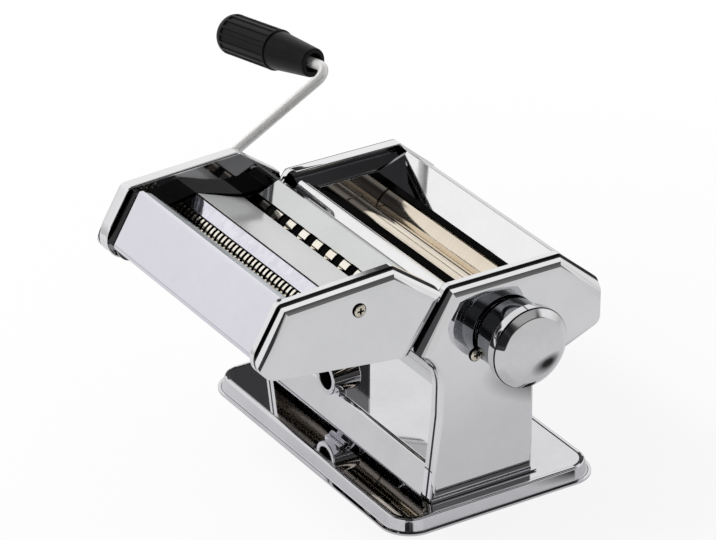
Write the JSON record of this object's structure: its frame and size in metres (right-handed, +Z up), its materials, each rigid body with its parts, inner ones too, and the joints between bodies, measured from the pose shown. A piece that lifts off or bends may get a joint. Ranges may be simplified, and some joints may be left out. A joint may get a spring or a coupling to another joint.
{
  "type": "pasta machine",
  "caption": "Chromed hand-cranked pasta machine: smooth rollers under a hopper, a thickness knob, a removable cutter attachment and a crank with a black grip.",
  "frame": {"origin": "centre of the base's footprint on the table", "axes": "+Z up, -X to the side of the cutter attachment, -Y to the side of the knob, +Y to the side of the crank"},
  "size_m": [0.2157, 0.3213, 0.1818],
  "materials": {
    "base_chrome": "mirror chrome on pressed steel",
    "plate_chrome": "mirror chrome on pressed steel",
    "cover_chrome": "polished chrome on bent sheet",
    "dark_sheet": "dull rolled sheet",
    "frame_steel": "zinc-plated sheet and bar",
    "scraper_steel": "spring steel strip",
    "roller_steel": "ground steel, fine rings round the axis",
    "cutter_steel": "turned steel",
    "gear_steel": "cut steel, greased",
    "bush_brass": "turned brass",
    "block_plastic": "moulded white plastic",
    "knob_chrome": "polished chrome",
    "spindle_steel": "turned steel",
    "spring_steel": "spring steel discs",
    "screw_steel": "bright screws, slightly warm",
    "crank_chrome": "satin chrome on round bar",
    "grip_plastic": "black moulded plastic, ribbed",
    "foot_rubber": "black moulded rubber"
  },
  "bodies": {
    "body": {"base_plate": "base_chrome", "rubber_feet": "foot_rubber", "base_screws": "screw_steel", "foot_pads": "base_chrome", "near_side_plate": "plate_chrome", "far_side_plate": "plate_chrome", "near_inner_frame": "frame_steel", "far_inner_frame": "frame_steel", "front_lower_guard": "cover_chrome", "front_guide": "cover_chrome", "rear_guide": "cover_chrome", "rear_cover": "cover_chrome", "far_cheek": "dark_sheet", "roller_scrapers": "scraper_steel", "rear_roller_bushes": "bush_brass", "body_tie_rods": "frame_steel", "body_side_pillars": "frame_steel", "body_side_fasteners": "screw_steel", "far_side_liner": "dark_sheet", "crossbar": "cover_chrome", "clamp_socket": "cover_chrome", "guide_rails": "frame_steel", "knob_bush": "bush_brass", "dial_plate": "knob_chrome"},
    "rear_roller": {"rear_roller": "roller_steel", "rear_roller_gear": "gear_steel"},
    "roller_carriage": {"near_bearing_block": "block_plastic", "far_bearing_block": "block_plastic"},
    "front_roller": {"front_roller": "roller_steel", "front_roller_gear": "gear_steel"},
    "adjuster": {"adjuster_spindle": "spindle_steel"},
    "knob": {"knob_hub": "knob_chrome", "knob_cap": "knob_chrome", "knob_spring": "spring_steel"},
    "cutter_attachment": {"attachment_near_plate": "plate_chrome", "attachment_far_plate": "plate_chrome", "attachment_near_frame": "frame_steel", "attachment_far_frame": "frame_steel", "attachment_far_liner": "dark_sheet", "attachment_front_cover": "cover_chrome", "attachment_middle_cover": "cover_chrome", "attachment_rear_cover": "cover_chrome", "attachment_gear_cover": "dark_sheet", "attachment_tie_rods": "frame_steel", "attachment_side_pillars": "frame_steel", "attachment_side_screws": "screw_steel", "mounting_hooks": "frame_steel", "cutter_bushes": "bush_brass", "cutter_combs": "scraper_steel"},
    "fine_front_cutter": {"fine_front_cutter": "cutter_steel", "fine_front_gear": "gear_steel"},
    "fine_rear_cutter": {"fine_rear_cutter": "cutter_steel", "fine_rear_gear": "gear_steel"},
    "wide_front_cutter": {"wide_front_cutter": "cutter_steel", "wide_front_gear": "gear_steel"},
    "wide_rear_cutter": {"wide_rear_cutter": "cutter_steel", "wide_rear_gear": "gear_steel"},
    "crank": {"crank_rod": "crank_chrome", "grip_retainer": "crank_chrome"},
    "grip": {"crank_grip": "grip_plastic"}
  },
  "joints": [
    {"name": "rear_roller_turn", "type": "hinge", "parent": "body", "child": "rear_roller", "pos_m": [0.038, 0, 0.102], "axis": [0, 1, 0], "continuous": true},
    {"name": "carriage_slide", "type": "slide", "parent": "body", "child": "roller_carriage", "axis": [-1, 0, 0], "range_m": [0, 0.0024]},
    {"name": "front_roller_turn", "type": "hinge", "parent": "roller_carriage", "child": "front_roller", "pos_m": [0.01, 0, 0.102], "axis": [0, 1, 0], "continuous": true},
    {"name": "thickness_turn", "type": "hinge", "parent": "body", "child": "adjuster", "pos_m": [0.01, -0.09, 0.102], "axis": [0, -1, 0], "range_deg": [0, 180]},
    {"name": "knob_pull", "type": "slide", "parent": "adjuster", "child": "knob", "axis": [0, -1, 0], "range_m": [0, 0.004], "stiffness_N_per_m": 400, "springref_m": -0.003},
    {"name": "attachment_lift", "type": "slide", "parent": "body", "child": "cutter_attachment", "axis": [0.5494, 0, 0.8355], "range_m": [0, 0.06]},
    {"name": "fine_rear_turn", "type": "hinge", "parent": "cutter_attachment", "child": "fine_rear_cutter", "pos_m": [-0.0933, 0, 0.13], "axis": [0, 1, 0], "continuous": true},
    {"name": "fine_front_turn", "type": "hinge", "parent": "cutter_attachment", "child": "fine_front_cutter", "pos_m": [-0.1103, 0, 0.13], "axis": [0, 1, 0], "continuous": true},
    {"name": "wide_front_turn", "type": "hinge", "parent": "cutter_attachment", "child": "wide_front_cutter", "pos_m": [-0.0649, 0, 0.1245], "axis": [0, 1, 0], "continuous": true},
    {"name": "wide_rear_turn", "type": "hinge", "parent": "cutter_attachment", "child": "wide_rear_cutter", "pos_m": [-0.0479, 0, 0.1245], "axis": [0, 1, 0], "continuous": true},
    {"name": "crank_pull_out", "type": "slide", "parent": "wide_front_cutter", "child": "crank", "axis": [0, 1, 0], "range_m": [0, 0.035]},
    {"name": "grip_spin", "type": "hinge", "parent": "crank", "child": "grip", "pos_m": [0.01544, 0.16215, 0.16925], "axis": [-0.1632, 0.9829, -0.0851], "continuous": true}
  ],
  "couplings": [
    {"joint": "front_roller_turn", "follows": "rear_roller_turn", "ratio": -1},
    {"joint": "thickness_turn", "follows": "carriage_slide", "rad_per_m": 1309},
    {"joint": "fine_front_turn", "follows": "fine_rear_turn", "ratio": -1},
    {"joint": "wide_rear_turn", "follows": "wide_front_turn", "ratio": -1}
  ]
}
